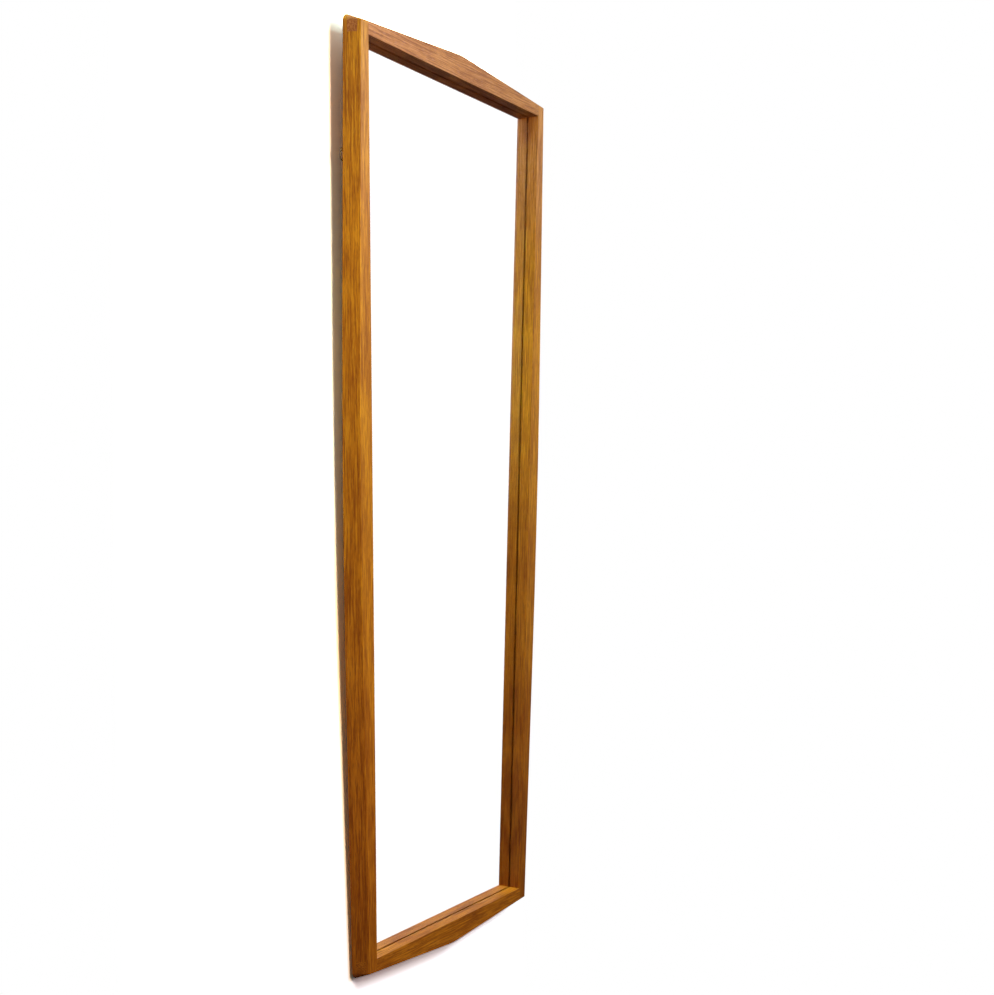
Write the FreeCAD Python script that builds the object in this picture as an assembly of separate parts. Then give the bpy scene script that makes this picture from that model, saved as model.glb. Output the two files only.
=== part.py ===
import math
import os

import FreeCAD
import Part

# Oak wall mirror, in millimetres. X is to the right, Y goes back to the wall, Z is up.
# The origin is on the back of the board, at the middle of the mirror's opening.

# Opening in front of the glass, wider at the top than at the bottom
opening_height = 940.0
opening_top_width = 361.0
opening_bottom_width = 303.0

# Depths, from the front face of the frame to the wall
lip_depth = 13.5
glass_thickness = 3.0
card_thickness = 1.5
board_thickness = 3.0

# Front outline of the frame: widths beside the opening and the rounding of the peaks
stile_end_width = 13.2
stile_peak_width = 23.1
stile_round_length = 188.0
rail_end_height = 12.6
top_rail_peak_height = 26.3
bottom_rail_peak_height = 24.3
rail_round_length = 10.0
corner_radius = 1.0
outer_splay = 7.0
outer_arris_radius = 0.8
opening_arris_radius = 0.3

# Rebate that holds the glass and the card
rebate_width = 5.0
sheet_clearance = 1.0

# Open corner bridle joints
front_cheek = 3.5
tenon_thickness = 10.0

# Back board and its panel pins, whose heads are sunk flush
board_overlap = 10.0
pin_inset = 7.5
pin_end_margin = 50.0
pins_per_stile = 6
pins_per_rail = 3
pin_diameter = 1.4
pin_length = 14.0
pin_head_diameter = 2.8
pin_head_depth = 0.8
drill_clearance = 0.1

# Hangers on the stiles beside the board: a folded strap, two screws and a D ring in the fold
hanger_inset = 17.0
strap_width = 6.0
strap_length = 37.0
strap_layer = 0.8
ring_wire = 1.8
ring_width = 9.0
ring_corner_radius = 1.5
ring_leg = 6.0
ring_bore_clearance = 0.3
ring_plate_clearance = 0.4
screw_diameter = 2.2
screw_length = 8.0
screw_head_diameter = 4.4
screw_head_height = 1.5
screw_slot_width = 0.7
screw_slot_depth = 0.6
screw_drop_upper = 21.0
screw_drop_lower = 31.0
strap_hole_clearance = 0.4

# Places worked out from the sizes above
rebate_depth = glass_thickness + card_thickness
frame_depth = lip_depth + rebate_depth
board_back_y = 0.0
frame_back_y = board_back_y - board_thickness
frame_front_y = frame_back_y - frame_depth
glass_front_y = frame_front_y + lip_depth
card_front_y = glass_front_y + glass_thickness
tenon_front_y = frame_front_y + front_cheek
tenon_back_y = tenon_front_y + tenon_thickness

half_height = opening_height / 2
middle_half_width = (opening_top_width + opening_bottom_width) / 4
side_slope = (opening_top_width - opening_bottom_width) / 2 / opening_height
reach = opening_height + opening_top_width
touch = drill_clearance / 10


def opening_half_width(z):
    """Half the width of the opening at height z, on its straight sides carried on."""
    return middle_half_width + side_slope * z


def opening_corners():
    """Corners of the opening, clockwise from the top left as seen from the front."""
    top = opening_half_width(half_height)
    bottom = opening_half_width(-half_height)
    return [(-top, half_height), (top, half_height), (bottom, -half_height), (-bottom, -half_height)]


def front_corners():
    """Corners and peaks of the frame's front outline, clockwise from the top left."""
    end_z = half_height + rail_end_height
    top = opening_half_width(end_z) + stile_end_width
    bottom = opening_half_width(-end_z) + stile_end_width
    middle = opening_half_width(0) + stile_peak_width
    return [
        (-top, end_z),
        (0, half_height + top_rail_peak_height),
        (top, end_z),
        (middle, 0),
        (bottom, -end_z),
        (0, -half_height - bottom_rail_peak_height),
        (-bottom, -end_z),
        (-middle, 0),
    ]


def unit(a, b):
    """Direction from point a to point b."""
    length = math.hypot(b[0] - a[0], b[1] - a[1])
    return ((b[0] - a[0]) / length, (b[1] - a[1]) / length)


def grown(corners, distance):
    """Move every side of a clockwise polygon outwards by a distance."""
    moved = []
    for i, corner in enumerate(corners):
        before = unit(corners[i - 1], corner)
        after = unit(corner, corners[(i + 1) % len(corners)])
        normal_x = -before[1] - after[1]
        normal_z = before[0] + after[0]
        share = distance / (1 + before[0] * after[0] + before[1] * after[1])
        moved.append((corner[0] + share * normal_x, corner[1] + share * normal_z))
    return moved


def turn_half(corners, i):
    """Half the angle that a polygon turns by at corner i."""
    before = unit(corners[i - 1], corners[i])
    after = unit(corners[i], corners[(i + 1) % len(corners)])
    return math.acos(before[0] * after[0] + before[1] * after[1]) / 2


def round_radii(corners):
    """Radii of the front outline: small at the corners, larger at the four peaks."""
    tangent_lengths = [rail_round_length, stile_round_length, rail_round_length, stile_round_length]
    radii = []
    for i, tangent in enumerate(tangent_lengths):
        radii.append(corner_radius)
        radii.append(tangent / math.tan(turn_half(corners, 2 * i + 1)))
    return radii


def outline_wire(corners, radii, y):
    """Closed wire of straight sides and tangent arcs at depth y."""
    stretches = []
    for i, corner in enumerate(corners):
        before = unit(corners[i - 1], corner)
        after = unit(corner, corners[(i + 1) % len(corners)])
        half = turn_half(corners, i)
        tangent = radii[i] * math.tan(half)
        crown = radii[i] / math.cos(half) - radii[i]
        inward = unit((0, 0), (after[0] - before[0], after[1] - before[1]))
        start = FreeCAD.Vector(corner[0] - tangent * before[0], y, corner[1] - tangent * before[1])
        middle = FreeCAD.Vector(corner[0] + crown * inward[0], y, corner[1] + crown * inward[1])
        end = FreeCAD.Vector(corner[0] + tangent * after[0], y, corner[1] + tangent * after[1])
        stretches.append((start, middle, end))
    edges = []
    for i, (start, middle, end) in enumerate(stretches):
        edges.append(Part.Arc(start, middle, end).toShape())
        edges.append(Part.LineSegment(end, stretches[(i + 1) % len(stretches)][0]).toShape())
    return Part.Wire(edges)


def prism(corners, y_start, y_end):
    """Flat-sided solid with an X-Z outline between two depths."""
    points = [FreeCAD.Vector(x, y_start, z) for x, z in corners]
    face = Part.Face(Part.makePolygon(points + points[:1]))
    return face.extrude(FreeCAD.Vector(0, y_end - y_start, 0))


def round_bar(x, z, y_start, y_end, diameter):
    """Round solid along Y, used for shanks and for the holes that take them."""
    base = FreeCAD.Vector(x, y_start, z)
    return Part.makeCylinder(diameter / 2, y_end - y_start, base, FreeCAD.Vector(0, 1, 0))


def rim(shape, y):
    """Edges of a shape that lie at depth y."""
    boxes = [(edge, edge.BoundBox) for edge in shape.Edges]
    return [edge for edge, box in boxes if y - touch < box.YMin and box.YMax < y + touch]


def on_opening(edge):
    """Whether an edge lies on the outline of the opening."""
    inside = [abs(v.X) < opening_half_width(v.Z) + touch for v in edge.Vertexes]
    level = [abs(v.Z) < half_height + touch for v in edge.Vertexes]
    return all(inside + level)


def frame_blank():
    """Whole frame before it is divided: splayed outside, edges eased, opening and rebate cut."""
    front = front_corners()
    radii = round_radii(front)
    back = grown(front, outer_splay)
    back_radii = [radius + outer_splay for radius in radii]
    front_wire = outline_wire(front, radii, frame_front_y)
    back_wire = outline_wire(back, back_radii, frame_back_y)
    blank = Part.makeLoft([front_wire, back_wire], True, True)
    blank = blank.makeFillet(outer_arris_radius, rim(blank, frame_front_y) + rim(blank, frame_back_y))
    opening = prism(opening_corners(), frame_front_y - rebate_depth, frame_back_y + rebate_depth)
    rebate = prism(grown(opening_corners(), rebate_width), glass_front_y, frame_back_y + rebate_depth)
    opened = blank.cut(opening)
    lip_edges = [edge for edge in rim(opened, frame_front_y) if on_opening(edge)]
    return opened.makeFillet(opening_arris_radius, lip_edges).cut(rebate)


def stile_region(side):
    """Everything outside the opening's side line, on the left (-1) or the right (1)."""
    low = side * opening_half_width(-reach)
    high = side * opening_half_width(reach)
    corners = [(low, -reach), (high, reach), (side * reach, reach), (side * reach, -reach)]
    return prism(corners, frame_front_y, frame_back_y)


def tenon_region(end):
    """Slab at the top (1) or the bottom (-1) that the tenons lie in."""
    near = end * half_height
    far = end * reach
    return prism([(-reach, near), (-reach, far), (reach, far), (reach, near)], tenon_front_y, tenon_back_y)


def rail_region(end):
    """Space between the stiles above or below the opening, with the tenon slab."""
    near = end * half_height
    far = end * reach
    corners = [
        (-opening_half_width(near), near),
        (-opening_half_width(far), far),
        (opening_half_width(far), far),
        (opening_half_width(near), near),
    ]
    return prism(corners, frame_front_y, frame_back_y).fuse(tenon_region(end))


def stile_pin_heights():
    """Heights of the panel pins along a stile."""
    first = pin_end_margin - half_height
    step = -2 * first / (pins_per_stile - 1)
    return [first + i * step for i in range(pins_per_stile)]


def stile_pin_places(side):
    """Points in X and Z of the panel pins along one stile."""
    square = math.sqrt(1 + side_slope ** 2)
    return [(side * (opening_half_width(z) + pin_inset * square), z) for z in stile_pin_heights()]


def rail_pin_places(end):
    """Points in X and Z of the panel pins along one rail."""
    first = pin_end_margin - opening_half_width(end * half_height)
    step = -2 * first / (pins_per_rail - 1)
    return [(first + i * step, end * (half_height + pin_inset)) for i in range(pins_per_rail)]


def pin_shape(x, z, tip_y, clearance):
    """Round shank with a countersunk head, flush with the back of the board."""
    shank = round_bar(x, z, tip_y, board_back_y, pin_diameter + clearance)
    head_base = FreeCAD.Vector(x, board_back_y - pin_head_depth, z)
    neck_radius = (pin_diameter + clearance) / 2
    rim_radius = (pin_head_diameter + clearance) / 2
    head = Part.makeCone(neck_radius, rim_radius, pin_head_depth, head_base, FreeCAD.Vector(0, 1, 0))
    return shank.fuse(head).removeSplitter()


def board_pins(places):
    """Group of panel pins that hold the board."""
    return Part.makeCompound([pin_shape(x, z, board_back_y - pin_length, 0) for x, z in places])


def pin_holes(places):
    """Holes for a group of panel pins, through the board and into the frame."""
    bottom = board_back_y - pin_length - drill_clearance
    return Part.makeCompound([pin_shape(x, z, bottom, drill_clearance) for x, z in places])


# The straps sit midway between the two upper pins of each stile
strap_thickness = 2 * strap_layer
ring_axis_y = frame_back_y + strap_thickness + ring_plate_clearance + ring_wire / 2
ring_axis_z = (stile_pin_heights()[-1] + stile_pin_heights()[-2] + strap_length) / 2
hanger_x = opening_half_width(ring_axis_z - strap_length / 2) + hanger_inset
screw_heights = [ring_axis_z - screw_drop_upper, ring_axis_z - screw_drop_lower]
strap_back_y = frame_back_y + strap_thickness


def hanger_strap(x):
    """Strap folded round the ring's bar, with a round foot and two screw holes."""
    left_x = x - strap_width / 2
    foot_z = ring_axis_z - strap_length + strap_width / 2
    bore = ring_wire / 2 + ring_bore_clearance
    across = FreeCAD.Vector(1, 0, 0)
    axis_point = FreeCAD.Vector(left_x, ring_axis_y, ring_axis_z)
    plate_corner = FreeCAD.Vector(left_x, frame_back_y, foot_z)
    plate = Part.makeBox(strap_width, strap_thickness, ring_axis_z - foot_z, plate_corner)
    foot = round_bar(x, foot_z, frame_back_y, strap_back_y, strap_width)
    fold = Part.makeCylinder(bore + strap_layer, strap_width, axis_point, across)
    strap = plate.fuse([foot, fold]).removeSplitter()
    strap = strap.cut(Part.makeCylinder(bore, strap_width, axis_point, across))
    for z in screw_heights:
        strap = strap.cut(round_bar(x, z, frame_back_y, strap_back_y, screw_diameter + strap_hole_clearance))
    return strap


def ring_path(x):
    """Centre line of the D ring: a bar, two rounded corners, two legs and a half circle."""
    half = ring_width / 2
    corner = ring_corner_radius
    leg_top = ring_axis_z - corner
    leg_end = leg_top - ring_leg
    slant = corner * (1 - math.sqrt(0.5))

    def point(px, pz):
        return FreeCAD.Vector(x + px, ring_axis_y, pz)

    def line(start, end):
        return Part.LineSegment(start, end).toShape()

    def arc(start, middle, end):
        return Part.Arc(start, middle, end).toShape()

    bar_left = point(corner - half, ring_axis_z)
    bar_middle = point(0, ring_axis_z)
    bar_right = point(half - corner, ring_axis_z)
    return Part.Wire([
        line(bar_middle, bar_right),
        arc(bar_right, point(half - slant, ring_axis_z - slant), point(half, leg_top)),
        line(point(half, leg_top), point(half, leg_end)),
        arc(point(half, leg_end), point(0, leg_end - half), point(-half, leg_end)),
        line(point(-half, leg_end), point(-half, leg_top)),
        arc(point(-half, leg_top), point(slant - half, ring_axis_z - slant), bar_left),
        line(bar_left, bar_middle),
    ])


def hanger_ring(x):
    """D ring of round wire, hanging from its bar."""
    centre = FreeCAD.Vector(x, ring_axis_y, ring_axis_z)
    section = Part.Wire([Part.makeCircle(ring_wire / 2, centre, FreeCAD.Vector(1, 0, 0))])
    return ring_path(x).makePipeShell([section], True, False)


def hanger_screws(x):
    """Two slotted round head screws that hold a strap to the stile."""
    screws = []
    cap_radius = (screw_head_diameter ** 2 / 4 + screw_head_height ** 2) / (2 * screw_head_height)
    head_back_y = strap_back_y + screw_head_height
    for z in screw_heights:
        shank = round_bar(x, z, strap_back_y - screw_length, strap_back_y, screw_diameter)
        ball = Part.makeSphere(cap_radius, FreeCAD.Vector(x, head_back_y - cap_radius, z))
        head = ball.common(round_bar(x, z, strap_back_y, head_back_y, screw_head_diameter))
        slot_corner = FreeCAD.Vector(
            x - screw_head_diameter / 2,
            head_back_y - screw_slot_depth,
            z - screw_slot_width / 2,
        )
        slot = Part.makeBox(screw_head_diameter, screw_slot_depth, screw_slot_width, slot_corner)
        head = head.cut(slot)
        screws.append(shank.fuse(head).removeSplitter())
    return Part.makeCompound(screws)


def screw_holes(x):
    """Holes in the stile for a strap's screws."""
    bottom = strap_back_y - screw_length - drill_clearance
    holes = [round_bar(x, z, bottom, frame_back_y, screw_diameter + drill_clearance) for z in screw_heights]
    return Part.makeCompound(holes)


def sheet(overlap, y_start, thickness):
    """Flat sheet of the opening's shape, reaching past it on every side."""
    return prism(grown(opening_corners(), overlap), y_start, y_start + thickness)


pieces = {}
frame = frame_blank()
slots = tenon_region(1).fuse(tenon_region(-1))
board = sheet(board_overlap, frame_back_y, board_thickness)

for side, name in ((-1, "left"), (1, "right")):
    places = stile_pin_places(side)
    x = side * hanger_x
    drilled = Part.makeCompound([pin_holes(places), screw_holes(x)])
    pieces[name + "_stile"] = frame.common(stile_region(side)).cut(slots).cut(drilled)
    pieces[name + "_board_pins"] = board_pins(places)
    pieces[name + "_hanger_strap"] = hanger_strap(x)
    pieces[name + "_hanger_ring"] = hanger_ring(x)
    pieces[name + "_hanger_screws"] = hanger_screws(x)
    board = board.cut(pin_holes(places))

for end, name in ((1, "top"), (-1, "bottom")):
    places = rail_pin_places(end)
    pieces[name + "_rail"] = frame.common(rail_region(end)).cut(pin_holes(places))
    pieces[name + "_board_pins"] = board_pins(places)
    board = board.cut(pin_holes(places))

pieces["mirror_glass"] = sheet(rebate_width - sheet_clearance, glass_front_y, glass_thickness)
pieces["packing_card"] = sheet(rebate_width - sheet_clearance, card_front_y, card_thickness)
pieces["back_board"] = board

os.makedirs("parts", exist_ok=True)
for name, shape in pieces.items():
    shape.exportStep("parts/" + name + ".step")
    print(name, len(shape.Solids), shape.isValid(), round(shape.Volume, 1))
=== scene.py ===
"""Looks, wall, lamps and camera of the oak wall mirror.

Lengths are in metres unless a name ends in mm."""
import math

import bmesh
import bpy
from mathutils import Matrix, Vector


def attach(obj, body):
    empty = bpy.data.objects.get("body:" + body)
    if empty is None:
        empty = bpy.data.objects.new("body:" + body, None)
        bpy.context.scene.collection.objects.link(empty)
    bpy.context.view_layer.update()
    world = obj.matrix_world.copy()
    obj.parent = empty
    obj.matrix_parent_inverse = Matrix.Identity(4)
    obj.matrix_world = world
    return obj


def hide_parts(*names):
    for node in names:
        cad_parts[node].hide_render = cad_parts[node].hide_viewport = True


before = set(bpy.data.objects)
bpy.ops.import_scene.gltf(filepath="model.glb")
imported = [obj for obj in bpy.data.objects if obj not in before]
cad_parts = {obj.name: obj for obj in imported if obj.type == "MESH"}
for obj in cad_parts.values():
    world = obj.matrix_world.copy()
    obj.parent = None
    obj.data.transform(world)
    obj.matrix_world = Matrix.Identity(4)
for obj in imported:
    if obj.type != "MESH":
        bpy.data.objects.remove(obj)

MM = 0.001
TO_MM = (1000.0, 1000.0, 1000.0)
UP = (0.0, 0.0, 1.0)
SIDEWAYS = (1.0, 0.0, 0.0)
QUARTER = math.radians(90.0)

# Each stile leans out by this much for each unit of height.
STILE_LEAN = 0.03085

# A Mix node has sockets of the same name for each kind of value, so its colours go by number.
MIX_COLOR_A = 6
MIX_COLOR_B = 7
MIX_COLOR_OUT = 2


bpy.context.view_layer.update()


class Wire:
    """One output socket of a finish. Sums on it add Math nodes."""

    def __init__(self, finish, socket):
        self.finish = finish
        self.socket = socket

    def __add__(self, other):
        return self.finish.math("ADD", self, other)

    def __radd__(self, other):
        return self.finish.math("ADD", other, self)

    def __sub__(self, other):
        return self.finish.math("SUBTRACT", self, other)

    def __rsub__(self, other):
        return self.finish.math("SUBTRACT", other, self)

    def __mul__(self, other):
        return self.finish.math("MULTIPLY", self, other)

    def __rmul__(self, other):
        return self.finish.math("MULTIPLY", other, self)


class Finish:
    """A node tree that is filled with nodes, and the Wires between them."""

    def __init__(self, tree):
        self.tree = tree
        tree.nodes.clear()

    def node(self, kind, settings=None, sockets=None, outlet=0):
        """Add a node, set it, fill or link its sockets, and give the Wire of one outlet."""
        made = self.tree.nodes.new(kind)
        for key, value in (settings or {}).items():
            if key == "stops":
                self.set_stops(made.color_ramp, value)
            else:
                setattr(made, key, value)
        for key, value in (sockets or {}).items():
            if isinstance(value, Wire):
                self.tree.links.new(value.socket, made.inputs[key])
            else:
                made.inputs[key].default_value = value
        if len(made.outputs):
            return Wire(self, made.outputs[outlet])
        return None

    @staticmethod
    def set_stops(ramp, stops):
        """Put the stops, pairs of place and colour, on a colour ramp."""
        while len(ramp.elements) < len(stops):
            ramp.elements.new(1.0)
        for element, (place, color) in zip(ramp.elements, stops):
            element.position = place
            element.color = (*color, 1.0)

    def math(self, operation, *values):
        """A Math node on Wires and numbers."""
        return self.node("ShaderNodeMath", {"operation": operation}, dict(enumerate(values)))

    def rise(self, value, low, high):
        """0 below low, 1 above high, with a smooth rise between; low may be the larger one."""
        if low > high:
            return 1.0 - self.rise(value, high, low)
        settings = {"interpolation_type": "SMOOTHSTEP"}
        sockets = {"Value": value, "From Min": low, "From Max": high, "To Min": 0.0, "To Max": 1.0}
        return self.node("ShaderNodeMapRange", settings, sockets)

    def blend(self, amount, first, second, kind="MIX"):
        """A colour between two colours."""
        sockets = {0: amount}
        for key, color in ((MIX_COLOR_A, first), (MIX_COLOR_B, second)):
            sockets[key] = color if isinstance(color, Wire) else (*color, 1.0)
        settings = {"data_type": "RGBA", "blend_type": kind, "clamp_factor": True}
        return self.node("ShaderNodeMix", settings, sockets, MIX_COLOR_OUT)

    def place(self, location=(0, 0, 0), rotation=(0, 0, 0), scale=(1, 1, 1)):
        """Object coordinates, turned, scaled and shifted."""
        seat = self.node("ShaderNodeTexCoord", outlet="Object")
        sockets = {"Vector": seat, "Location": location, "Rotation": rotation, "Scale": scale}
        return self.node("ShaderNodeMapping", {"vector_type": "POINT"}, sockets)

    def stretched(self, vector, scale, shift=(0, 0, 0)):
        """A vector scaled along each axis, then shifted."""
        sockets = {"Vector": vector, "Location": shift, "Scale": scale}
        return self.node("ShaderNodeMapping", {"vector_type": "POINT"}, sockets)

    def noise(self, vector, scale=1.0, detail=2.0, roughness=0.5):
        """A noise of 0 to 1 on a vector."""
        sockets = {"Vector": vector, "Scale": scale, "Detail": detail, "Roughness": roughness}
        return self.node("ShaderNodeTexNoise", {"noise_dimensions": "3D"}, sockets, "Fac")

    def axes(self, vector):
        """The three parts of a vector."""
        made = self.tree.nodes.new("ShaderNodeSeparateXYZ")
        self.tree.links.new(vector.socket, made.inputs[0])
        return [Wire(self, outlet) for outlet in made.outputs]

    def bump(self, height, strength, distance):
        """A Bump node's normal."""
        sockets = {"Height": height, "Strength": strength, "Distance": distance}
        return self.node("ShaderNodeBump", None, sockets)

    def surface(self, **sockets):
        """A Principled shader on the material's output; words are joined by underscores."""
        named = {key.replace("_", " "): value for key, value in sockets.items()}
        self.output(self.node("ShaderNodeBsdfPrincipled", None, named))

    def output(self, shader, kind="ShaderNodeOutputMaterial"):
        """Link a shader to the tree's output."""
        self.node(kind, None, {"Surface": shader})


def new_finish(name):
    """A new material and its Finish."""
    material = bpy.data.materials.new(name)
    material.use_nodes = True
    return material, Finish(material.node_tree)


def oak(name, grain, turn, seed, tones_and_painted_light, end_axis):
    """Oiled oak. grain turns the piece's length on to Z, turn sets how the board was sawn, and the tones
    are the board's own tone with painted light at the mirror's foot, middle and top: darker foot, paler
    top."""
    material, f = new_finish(name)
    board_mm = f.place(seed, (grain[0], grain[1], turn), TO_MM)
    x, y, z = f.axes(board_mm)

    # Growth rings wander along the board, and each year starts with a band of open pores.
    ring_bend, ring_drift, rings_per_mm, wander_mm = 0.006, 0.006, 0.36, 16.0
    wander = f.noise(f.stretched(board_mm, (0.035, 0.035, 0.0035)), detail=2.0)
    rings = (y + x * x * ring_bend + wander * wander_mm + z * ring_drift) * rings_per_mm
    year = f.math("FRACT", rings)
    spring = f.rise(year, 0.45, 0.1) * f.rise(year, 0.0, 0.05)

    # Vessels cut lengthwise are short dark dashes; cut across they are dots.
    vessels = f.node(
        "ShaderNodeTexVoronoi",
        {"voronoi_dimensions": "3D", "feature": "F1"},
        {"Vector": f.stretched(board_mm, (1.7, 1.7, 0.11)), "Scale": 1.0, "Randomness": 1.0},
        "Distance",
    )
    pores = f.rise(vessels, 0.42, 0.22) * (0.3 + 0.7 * spring)

    # Rays are thin plates that reach out from the heart.
    plates = f.node(
        "ShaderNodeTexVoronoi",
        {"voronoi_dimensions": "3D", "feature": "F1"},
        {"Vector": f.stretched(board_mm, (0.9, 0.13, 0.1), (3.7, 1.9, 5.3)), "Scale": 1.0},
        "Distance",
    )
    rays = f.rise(plates, 0.34, 0.2)

    streak = f.noise(f.stretched(board_mm, (0.75, 0.75, 0.03)), detail=3.0, roughness=0.55)
    fibre = f.noise(f.stretched(board_mm, (5.0, 5.0, 0.16)), detail=2.0)
    cloud = f.noise(f.stretched(board_mm, (0.06, 0.06, 0.012)), detail=3.0)

    ground = (0.35, (0.37, 0.134, 0.003)), (0.5, (0.50, 0.207, 0.005)), (0.65, (0.62, 0.285, 0.009))
    dark_streak, pale_streak = (0.22, 0.066, 0.002), (0.76, 0.39, 0.018)
    spring_wood, ray_fleck = (0.29, 0.096, 0.002), (0.60, 0.31, 0.03)
    fibre_shade, pore_shade = (0.37, 0.15, 0.006), (0.12, 0.038, 0.003)
    end_shade, upper_arris_painted_shade = (0.22, 0.09, 0.006), (0.16, 0.06, 0.004)
    color = f.node("ShaderNodeValToRGB", {"stops": ground}, {"Fac": cloud})
    color = f.blend(f.rise(streak, 0.51, 0.62) * 0.7, color, dark_streak)
    color = f.blend(f.rise(streak, 0.47, 0.36) * 0.65, color, pale_streak)
    color = f.blend(spring * 0.4, color, spring_wood)
    color = f.blend(rays * 0.22, color, ray_fleck)
    color = f.blend(fibre * 0.22, color, fibre_shade)
    color = f.blend(pores * 0.75, color, pore_shade)

    # Cut across the grain, the wood drinks more oil and is darker.
    facing = f.node("ShaderNodeTexCoord", outlet="Normal")
    dot = {"operation": "DOT_PRODUCT"}
    along = f.node("ShaderNodeVectorMath", dot, {0: facing, 1: end_axis}, "Value")
    across = f.rise(f.math("ABSOLUTE", along), 0.6, 0.9)
    color = f.blend(across * 0.12, color, end_shade)

    # Painted shade darkens the rounded edges that look up, against the overhead light on them.
    depth, upwards = f.axes(facing)[1:]
    squareness = f.math("ABSOLUTE", depth)
    rounded = f.rise(squareness, 0.45, 0.6) * f.rise(squareness, 0.98, 0.9)
    color = f.blend(rounded * f.rise(upwards, 0.15, 0.4) * 0.85, color, upper_arris_painted_shade)

    # Painted light over the board's own tone: darker and redder towards the foot, paler at the top.
    height = f.axes(f.place())[2]
    foot, middle, top = tones_and_painted_light
    shade = f.blend(f.rise(height, -0.42, 0.1), foot, middle)
    shade = f.blend(f.rise(height, 0.27, 0.42), shade, top)
    color = f.blend(1.0, color, shade, "MULTIPLY")

    f.surface(
        Base_Color=color,
        Roughness=0.42 + pores * 0.2 + across * 0.12 + (streak - 0.5) * 0.18,
        Specular_IOR_Level=0.5,
        Specular_Tint=(1.0, 0.85, 0.6, 1.0),
        Normal=f.bump(1.0 - pores * 0.8 - fibre * 0.25, 0.35, 0.12 * MM),
    )
    return material


def silver():
    """The silvering on the back of the glass, a little dull along the sheet's cut edges."""
    material, f = new_finish("silvered_back")
    middle_half_width_mm, half_height_mm = 170.0, 474.0
    bright_silver, dull_silver = (0.99, 0.99, 0.985), (0.28, 0.27, 0.25)
    x, _, z = f.axes(f.place(scale=TO_MM))
    side = middle_half_width_mm + z * STILE_LEAN - f.math("ABSOLUTE", x)
    end = half_height_mm - f.math("ABSOLUTE", z)
    edge = f.math("MINIMUM", side, end)
    patchy = f.noise(f.place(scale=(180.0, 180.0, 180.0)), detail=3.0)
    dull = f.rise(edge + patchy * 4.0, 4.0, 1.5)
    f.surface(
        Base_Color=f.blend(dull * 0.7, bright_silver, dull_silver),
        Metallic=1.0,
        Roughness=dull * 0.3,
    )
    return material


def clear_glass():
    """Float glass with the faintest of wiped smears."""
    material, f = new_finish("clear_glass")
    smear = f.noise(f.place(rotation=(0, 0.5, 0), scale=(9.0, 9.0, 34.0)), detail=4.0)
    f.surface(
        Base_Color=(1.0, 1.0, 1.0, 1.0),
        Roughness=f.rise(smear, 0.62, 0.85) * 0.012,
        IOR=1.52,
        Transmission_Weight=1.0,
    )
    return material


def grey_card():
    """Plain pulp card with darker flecks."""
    material, f = new_finish("packing_card_pulp")
    pulp = f.noise(f.place(scale=(700.0, 700.0, 700.0)), detail=4.0, roughness=0.65)
    fleck = f.rise(f.noise(f.place(scale=(1600.0, 1600.0, 1600.0)), detail=1.0), 0.66, 0.74)
    dark_pulp, pale_pulp, fleck_shade = (0.22, 0.18, 0.125), (0.34, 0.29, 0.21), (0.10, 0.075, 0.05)
    color = f.blend(pulp, dark_pulp, pale_pulp)
    f.surface(
        Base_Color=f.blend(fleck * 0.6, color, fleck_shade),
        Roughness=0.82 + pulp * 0.1,
        Specular_IOR_Level=0.2,
        Normal=f.bump(pulp, 0.3, 0.1 * MM),
    )
    return material


def hardboard():
    """Pressed wood fibre: matted fibres, and the weave of the press screen on its face."""
    material, f = new_finish("hardboard_screen_face")
    seat_mm = f.place(scale=TO_MM)
    x, _, z = f.axes(seat_mm)
    weave_per_mm = 4.4
    ribs = f.math("SINE", x * weave_per_mm) * f.math("SINE", z * weave_per_mm)
    tangle = f.noise(f.stretched(seat_mm, (1.3, 1.3, 1.3)), detail=5.0, roughness=0.7)
    hairs = f.noise(f.stretched(seat_mm, (0.35, 2.2, 2.2), (7.0, 0.0, 2.0)), detail=3.0)
    cloud = f.noise(f.stretched(seat_mm, (0.012, 0.012, 0.012)), detail=2.0)
    pulp = (0.3, (0.16, 0.084, 0.036)), (0.5, (0.27, 0.156, 0.072)), (0.72, (0.39, 0.25, 0.125))
    pale_mottle, dark_mottle = (0.40, 0.25, 0.13), (0.13, 0.066, 0.03)
    pale_bundle, dark_bundle = (0.46, 0.31, 0.175), (0.10, 0.05, 0.023)
    hair_shade, weave_shade = (0.42, 0.27, 0.145), (0.11, 0.052, 0.024)
    color = f.node("ShaderNodeValToRGB", {"stops": pulp}, {"Fac": tangle * 0.7 + cloud * 0.3})
    mottle = f.noise(f.stretched(seat_mm, (0.2, 0.2, 0.2), (3.0, 0.0, 9.0)), detail=5.0, roughness=0.75)
    bundles = f.noise(f.stretched(seat_mm, (0.5, 0.5, 0.14), (1.0, 6.0, 4.0)), detail=2.0)
    color = f.blend(f.rise(mottle, 0.5, 0.66) * 0.35, color, pale_mottle)
    color = f.blend(f.rise(mottle, 0.5, 0.36) * 0.35, color, dark_mottle)
    color = f.blend(f.rise(bundles, 0.62, 0.7) * 0.6, color, pale_bundle)
    color = f.blend(f.rise(bundles, 0.36, 0.28) * 0.5, color, dark_bundle)
    color = f.blend(f.rise(hairs, 0.58, 0.72) * 0.45, color, hair_shade)
    color = f.blend((0.5 - ribs * 0.5) * 0.25, color, weave_shade)
    f.surface(
        Base_Color=color,
        Roughness=0.66 + tangle * 0.2,
        Specular_IOR_Level=0.25,
        Normal=f.bump(ribs * 0.4 + tangle * 0.6, 0.5, 0.15 * MM),
    )
    return material


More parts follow.
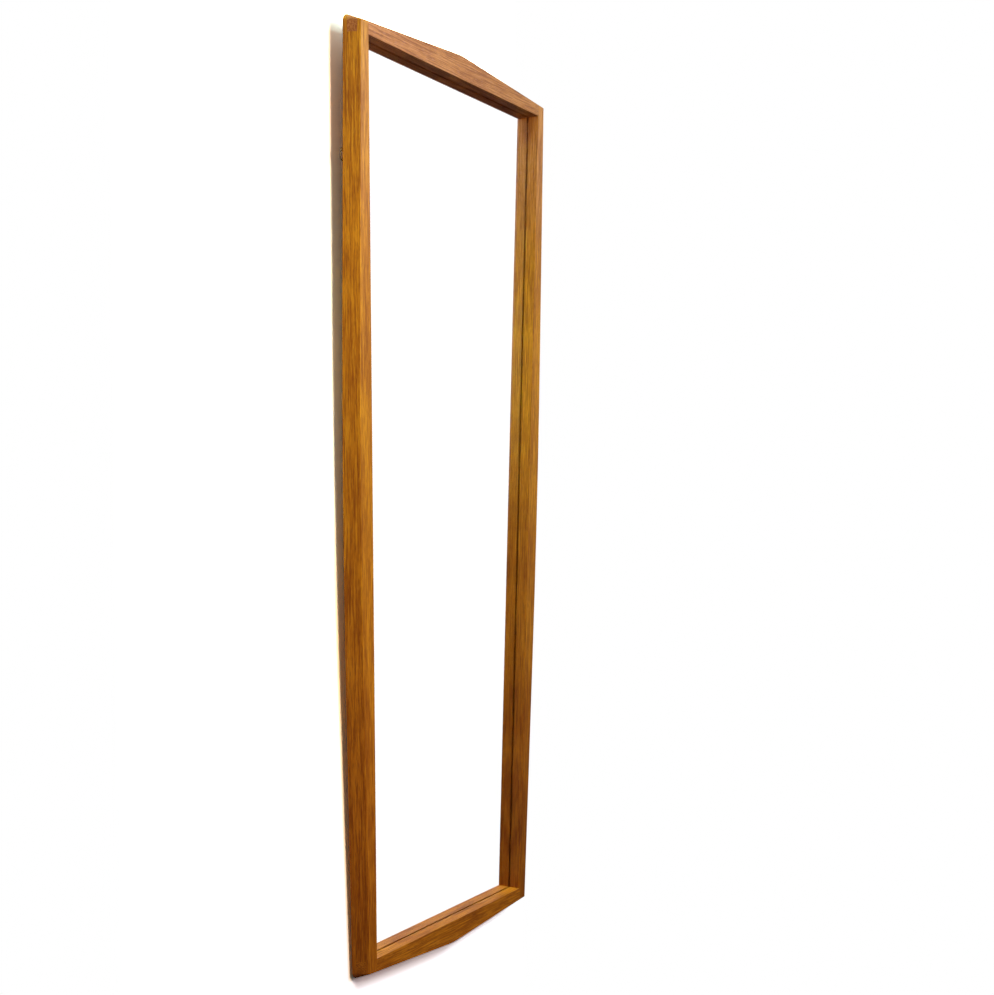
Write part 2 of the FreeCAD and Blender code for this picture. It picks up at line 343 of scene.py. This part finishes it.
def worn_brass(name, bright, dull, seed):
    """Brass plate, bright on its flats, tarnished in patches, with painted shade on its edges."""
    material, f = new_finish(name)
    spot_shade, edge_painted_shade = (0.17, 0.10, 0.045), (0.09, 0.055, 0.022)
    seat_mm = f.place(seed, scale=TO_MM)
    tarnish = f.noise(f.stretched(seat_mm, (0.35, 0.35, 0.35)), detail=4.0, roughness=0.6)
    spots = f.rise(f.noise(f.stretched(seat_mm, (1.1, 1.1, 1.1)), detail=3.0), 0.6, 0.72)
    scratch = f.noise(f.stretched(seat_mm, (0.4, 6.0, 7.0)), detail=2.0)
    color = f.blend(f.rise(tarnish, 0.38, 0.66), bright, dull)
    color = f.blend(spots * 0.6, color, spot_shade)
    # Painted shade darkens the faces that look sideways, so the edges stay dark in the gap behind the
    # mirror.
    depth = f.axes(f.node("ShaderNodeTexCoord", outlet="Normal"))[1]
    edge = f.rise(f.math("ABSOLUTE", depth), 0.8, 0.5)
    color = f.blend(edge * 0.8, color, edge_painted_shade)
    f.surface(
        Base_Color=color,
        Metallic=1.0 - spots * 0.25,
        Roughness=0.26 + tarnish * 0.22 + spots * 0.2 + edge * 0.15 + (scratch - 0.5) * 0.1,
        Normal=f.bump(scratch - spots * 0.4, 0.12, 0.05 * MM),
    )
    return material


def dull_steel():
    """Panel pins: grey steel with brown patches of rust."""
    material, f = new_finish("panel_pin_steel")
    dark_steel, pale_steel, rust_shade = (0.17, 0.165, 0.16), (0.32, 0.31, 0.295), (0.16, 0.075, 0.035)
    seat_mm = f.place(scale=TO_MM)
    grit = f.noise(f.stretched(seat_mm, (2.4, 2.4, 2.4)), detail=3.0)
    rust = f.rise(f.noise(f.stretched(seat_mm, (0.7, 0.7, 0.7)), detail=3.0), 0.55, 0.7)
    color = f.blend(grit, dark_steel, pale_steel)
    f.surface(
        Base_Color=f.blend(rust * 0.55, color, rust_shade),
        Metallic=0.95 - rust * 0.5,
        Roughness=0.45 + grit * 0.2 + rust * 0.2,
        Normal=f.bump(grit, 0.15, 0.05 * MM),
    )
    return material


def dress(node_names, material):
    """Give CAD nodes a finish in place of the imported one."""
    for node_name in node_names:
        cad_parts[node_name].material_slots[0].material = material


def mirror_pane():
    """The glass sheet: clear through, arrised at its edges and silvered on its back face."""
    weld, arris, hair = 0.01 * MM, 0.25 * MM, 0.05 * MM
    flat, square_on = math.radians(1.0), 0.99
    shape = bmesh.new()
    shape.from_mesh(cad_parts["mirror_glass"].data)
    bmesh.ops.remove_doubles(shape, verts=shape.verts, dist=weld)
    bmesh.ops.dissolve_limit(shape, angle_limit=flat, verts=shape.verts, edges=shape.edges)
    bmesh.ops.bevel(
        shape,
        geom=shape.edges[:],
        offset=arris,
        affect="EDGES",
        segments=1,
        profile=0.5,
        material=-1,
    )
    shape.normal_update()
    for face in shape.faces:
        face.material_index = 1 if face.normal.y > square_on else 0
        if abs(face.normal.y) > square_on:
            # A hair's breadth off the lip and the card, which it would otherwise share a plane with.
            inwards = Vector((0.0, -math.copysign(hair, face.normal.y), 0.0))
            bmesh.ops.translate(shape, vec=inwards, verts=face.verts[:])
    mesh = bpy.data.meshes.new("mirror_pane")
    shape.to_mesh(mesh)
    shape.free()
    mesh.materials.append(clear_glass())
    mesh.materials.append(silver())
    pane = bpy.data.objects.new("mirror_pane", mesh)
    bpy.context.scene.collection.objects.link(pane)
    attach(pane, "mirror")
    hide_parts("mirror_glass")


def wall():
    """The white wall, which the foot of the mirror touches and its top leans away from."""
    foot_z, top_z, top_gap, foot_gap, half_span = -0.491, 0.490, 0.0195, 0.0004, 4.0
    lean = math.atan2(top_gap, top_z - foot_z)
    shape = bmesh.new()
    bmesh.ops.create_grid(shape, x_segments=1, y_segments=1, size=half_span)
    upright = Matrix.Rotation(QUARTER - lean, 4, "X")
    bmesh.ops.transform(shape, matrix=upright, verts=shape.verts)
    bmesh.ops.translate(shape, vec=Vector((0.0, foot_gap, foot_z)), verts=shape.verts)
    mesh = bpy.data.meshes.new("wall")
    shape.to_mesh(mesh)
    shape.free()
    mesh.materials.append(wall_paint())
    plane = bpy.data.objects.new("wall", mesh)
    bpy.context.scene.collection.objects.link(plane)


def wall_paint():
    """White paint that keeps the mirror's shadow. It is white further off and clear from behind."""
    material, f = new_finish("wall_paint")
    middle_half_width, stile_taper, foot_z = 0.196, 0.0517, -0.488
    x, _, z = f.axes(f.node("ShaderNodeTexCoord", outlet="Object"))
    beside = f.rise(x, -0.50, -0.32) * f.rise(x, 0.20, 0.10)
    level = f.rise(f.math("ABSOLUTE", z), 0.75, 0.56)
    near = beside * level
    white = f.node("ShaderNodeEmission", None, {"Color": (1.0, 1.0, 1.0, 1.0), "Strength": 1.0})

    # Painted shade: behind the foot of the frame the paint is browner, for the oak-coloured dimness in
    # the gap.
    inwards = x + middle_half_width + z * stile_taper
    inside = f.rise(inwards, -0.004, 0.003) * f.rise(z, foot_z - 0.007, foot_z)
    foot_tint, gap_painted_shade = (3.6, 6.0, 6.0), (3.5, 4.2, 2.2)
    middle_tint, top_tint = (3.9, 6.4, 4.8), (5.3, 6.6, 4.4)
    paint = f.blend(f.rise(z, -0.2, 0.1), f.blend(inside, foot_tint, gap_painted_shade), middle_tint)
    paint = f.blend(f.rise(z, 0.27, 0.37), paint, top_tint)
    shaded = f.node("ShaderNodeBsdfDiffuse", None, {"Color": paint})

    # Below the foot a painted glow lightens the shadow, standing in for light from the room.
    left_painted_fill, right_painted_fill = (0.28, 0.16, 0.11), (0.5, 0.38, 0.33)
    painted_fill = f.blend(f.rise(x, -0.12, 0.08), left_painted_fill, right_painted_fill)
    painted_fill = f.blend(f.rise(z, foot_z, foot_z - 0.009), (0.0, 0.0, 0.0), painted_fill)
    glow = f.node("ShaderNodeEmission", None, {"Color": painted_fill, "Strength": 1.0})
    shaded = f.node("ShaderNodeAddShader", None, {0: shaded, 1: glow})
    seen = f.node("ShaderNodeMixShader", None, {0: near, 1: white, 2: shaded})

    # Only the eye sees all that. Bounced light meets plain paint, and lamps and polish see through it.
    plain = f.node("ShaderNodeBsdfDiffuse", None, {"Color": (0.7, 0.68, 0.65, 1.0)})
    camera_ray = f.node("ShaderNodeLightPath", outlet="Is Camera Ray")
    front = f.node("ShaderNodeMixShader", None, {0: camera_ray, 1: plain, 2: seen})
    behind = f.node("ShaderNodeNewGeometry", outlet="Backfacing")
    shadow_ray = f.node("ShaderNodeLightPath", outlet="Is Shadow Ray")
    glossy_ray = f.node("ShaderNodeLightPath", outlet="Is Glossy Ray")
    direct = f.math("LESS_THAN", f.node("ShaderNodeLightPath", outlet="Diffuse Depth"), 0.5)
    clear = f.node("ShaderNodeBsdfTransparent")
    hidden = f.math("MAXIMUM", behind, f.math("MAXIMUM", shadow_ray, glossy_ray) * direct)
    f.output(f.node("ShaderNodeMixShader", None, {0: hidden, 1: front, 2: clear}))
    return material


def daylight():
    """A soft dome. The eye and the mirror see white, and polish sees a room, pale above and behind."""
    world = bpy.data.worlds.new("daylight")
    world.use_nodes = True
    bpy.context.scene.world = world
    f = Finish(world.node_tree)
    _, y, z = f.axes(f.node("ShaderNodeTexCoord", outlet="Generated"))
    dome_foot, dome_top = (0.023, 0.02, 0.028), (0.23, 0.20, 0.28)
    floor, ceiling_pale, behind_pale = (0.016, 0.01, 0.01), (0.38, 0.34, 0.47), (0.62, 0.60, 0.57)
    white, mirror_white = (1.0, 1.0, 1.0), (1.25, 1.25, 1.25)
    dome = f.blend(f.rise(z, 0.1, 0.9), dome_foot, dome_top)
    room = f.blend(f.rise(z, -0.2, 0.2), floor, ceiling_pale)
    room = f.blend(f.rise(y, 0.55, 0.68), room, behind_pale)
    camera_ray = f.node("ShaderNodeLightPath", outlet="Is Camera Ray")
    glossy_ray = f.node("ShaderNodeLightPath", outlet="Is Glossy Ray")
    glass_ray = f.node("ShaderNodeLightPath", outlet="Is Transmission Ray")
    direct = f.math("LESS_THAN", f.node("ShaderNodeLightPath", outlet="Diffuse Depth"), 0.5)
    mirrored = f.math("LESS_THAN", f.node("ShaderNodeLightPath", outlet="Glossy Depth"), 1.5)
    color = f.blend(f.math("MAXIMUM", glossy_ray, glass_ray) * direct, dome, room)
    color = f.blend(glass_ray * direct * mirrored, color, mirror_white)
    color = f.blend(camera_ray, color, white)
    background = f.node("ShaderNodeBackground", None, {"Color": color, "Strength": 1.0})
    f.output(background, "ShaderNodeOutputWorld")


def lamp(name, place, aim, width, height, power, tint=(1.0, 1.0, 1.0)):
    """An upright oblong lamp that faces a point."""
    light = bpy.data.lights.new(name, "AREA")
    light.shape = "RECTANGLE"
    light.size = width
    light.size_y = height
    light.energy = power
    light.color = tint
    holder = bpy.data.objects.new(name, light)
    facing = (Vector(aim) - Vector(place)).to_track_quat("-Z", "Y")
    holder.matrix_world = Matrix.Translation(place) @ facing.to_matrix().to_4x4()
    bpy.context.scene.collection.objects.link(holder)
    return holder


def spare_wall(holder):
    """Keep a lamp off the wall, so that it can't light the gap behind the mirror."""
    spared = bpy.data.collections.new("not_lit_by_" + holder.name)
    spared.objects.link(bpy.data.objects["wall"])
    spared.collection_objects[0].light_linking.link_state = "EXCLUDE"
    holder.light_linking.receiver_collection = spared


def light_only(holder, node_name):
    """Let a lamp light one piece alone."""
    lit = bpy.data.collections.new("lit_by_" + holder.name)
    lit.objects.link(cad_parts[node_name])
    holder.light_linking.receiver_collection = lit


def camera():
    """The photograph's viewpoint: level with the middle of the mirror, about 60 degrees to its left."""
    place = -1.3735, -0.8589, 0.0187
    right = Vector((0.497553, -0.867384, 0.009255))
    up = Vector((0.003090, 0.012442, 0.999918))
    back = Vector((-0.867428, -0.497484, 0.008871))
    focal_mm, film_mm = 52.097, 36.0
    lens = bpy.data.cameras.new("camera")
    lens.lens = focal_mm
    lens.sensor_width = film_mm
    holder = bpy.data.objects.new("camera", lens)
    turned = Matrix((right, up, back)).transposed().to_4x4()
    holder.matrix_world = Matrix.Translation(place) @ turned
    bpy.context.scene.collection.objects.link(holder)
    bpy.context.scene.camera = holder


# Each board's own tone with painted light over it: darker and redder at the foot, paler at the top.
left_tones_and_painted_light = (1.05, 0.88, 1.2), (1.08, 1.2, 1.05), (1.04, 1.2, 1.3)
right_tones_and_painted_light = (0.80, 0.64, 0.95), (1.08, 1.17, 1.2), (1.05, 1.18, 6.5)
top_rail_tones_and_painted_light = [(0.91, 0.99, 6.0)] * 3
bottom_rail_tones_and_painted_light = [(1.08, 0.94, 1.35)] * 3
left_oak = oak("oak_left_stile", (0, STILE_LEAN), 0.35, (31.0, 12.0, 140.0), left_tones_and_painted_light, UP)
right_oak = oak("oak_right_stile", (0, -STILE_LEAN), -0.5, (-57.0, 88.0, 610.0), right_tones_and_painted_light, UP)
top_oak = oak("oak_top_rail", (0, QUARTER), 1.2, (205.0, 33.0, -90.0), top_rail_tones_and_painted_light, SIDEWAYS)
bottom_oak = oak("oak_bottom_rail", (0, QUARTER), 1.35, (-310.0, 71.0, 25.0), bottom_rail_tones_and_painted_light, SIDEWAYS)
dress(["left_stile"], left_oak)
dress(["right_stile"], right_oak)
dress(["top_rail"], top_oak)
dress(["bottom_rail"], bottom_oak)
dress(["packing_card"], grey_card())
dress(["back_board"], hardboard())
dress(["left_board_pins", "right_board_pins", "top_board_pins", "bottom_board_pins"], dull_steel())
hanger_brass = worn_brass("hanger_brass_plate", (0.64, 0.45, 0.18), (0.33, 0.225, 0.09), (4.0, 9.0, 2.0))
dress(["left_hanger_strap", "right_hanger_strap", "left_hanger_ring", "right_hanger_ring"], hanger_brass)
screw_brass = worn_brass("screw_brass_plate", (0.68, 0.48, 0.20), (0.40, 0.27, 0.115), (1.0, 5.0, 8.0))
dress(["left_hanger_screws", "right_hanger_screws"], screw_brass)
mirror_pane()

wall()
daylight()
window = lamp("window", (-0.48, -0.85, 0.33), (-0.08, 0.0, 0.1), 0.25, 0.5, 5.4, (1.0, 0.53, 0.49))
window.visible_glossy = False
upper_window = lamp("upper_window", (-0.58, -0.82, 0.75), (-0.1, 0.0, 0.3), 0.25, 0.3, 2.5)
spare_wall(upper_window)
lamp("room", (0.9, -1.2, 0.9), (0.0, 0.0, 0.2), 0.6, 0.6, 7.0, (0.8, 0.77, 1.0))
ceiling = lamp("ceiling", (-0.2, -1.1, 3.6), (0.0, 0.0, 0.0), 1.0, 1.0, 112.0, (0.86, 1.0, 0.92))
spare_wall(ceiling)
right_lip = 0.175, -0.014, 0.2
side_light = lamp("side_light", (-0.75, -0.2, 0.23), right_lip, 0.08, 0.08, 0.058, (0.64, 1.0, 0.8))
side_light.data.spread = math.radians(30.0)
light_only(side_light, "right_stile")
back_fill = lamp("back_fill", (1.2, 1.4, 1.3), (0.0, 0.0, 0.1), 1.2, 1.2, 42.0, (1.0, 0.80, 0.82))
back_fill.visible_glossy = False
camera()
bpy.context.scene.view_settings.view_transform = "Standard"
